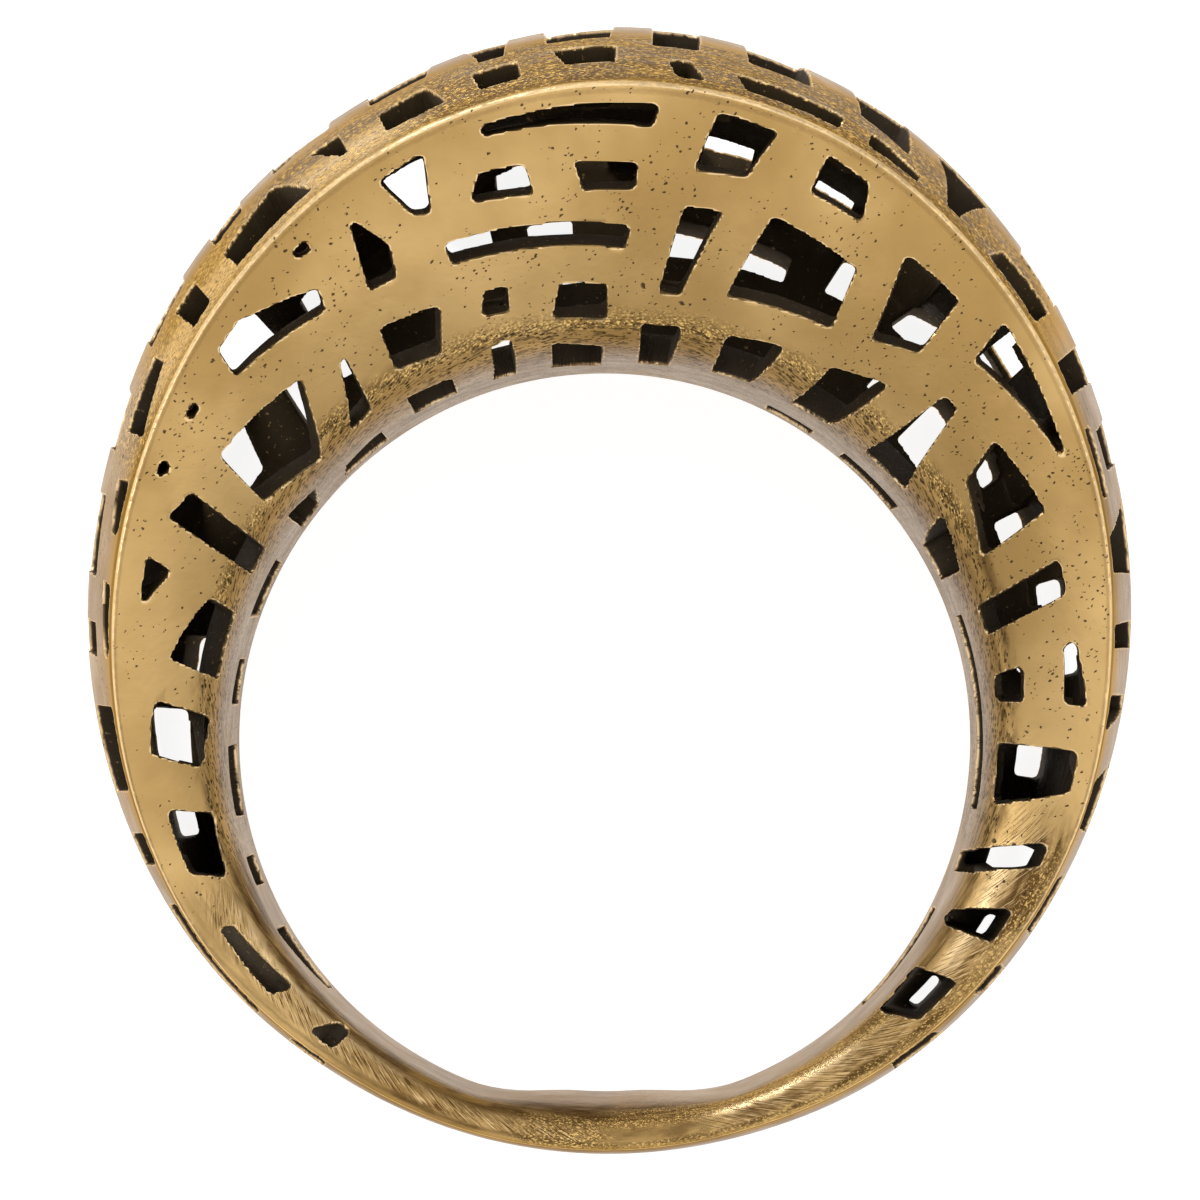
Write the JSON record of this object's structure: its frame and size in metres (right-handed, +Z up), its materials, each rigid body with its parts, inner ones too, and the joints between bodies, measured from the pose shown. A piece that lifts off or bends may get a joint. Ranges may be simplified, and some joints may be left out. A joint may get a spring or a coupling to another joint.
{
  "type": "openwork ring",
  "caption": "Openwork finger ring: a hollow domed band, wide at the top and thin below, pierced all over with irregular angular gaps, lying on its side.",
  "frame": {"origin": "centre of the bounding box, on the ground", "axes": "+Z up, the ring lies on its rear side face; +Y from the thin band towards the top of the dome; +X to the right, seen from above with the dome away from the viewer"},
  "size_m": [0.024, 0.026, 0.0158],
  "materials": {
    "antique_brass": "satin cast brass, darkened inside the gaps"
  },
  "bodies": {
    "root": {"openwork_ring": "antique_brass"}
  },
  "joints": []
}
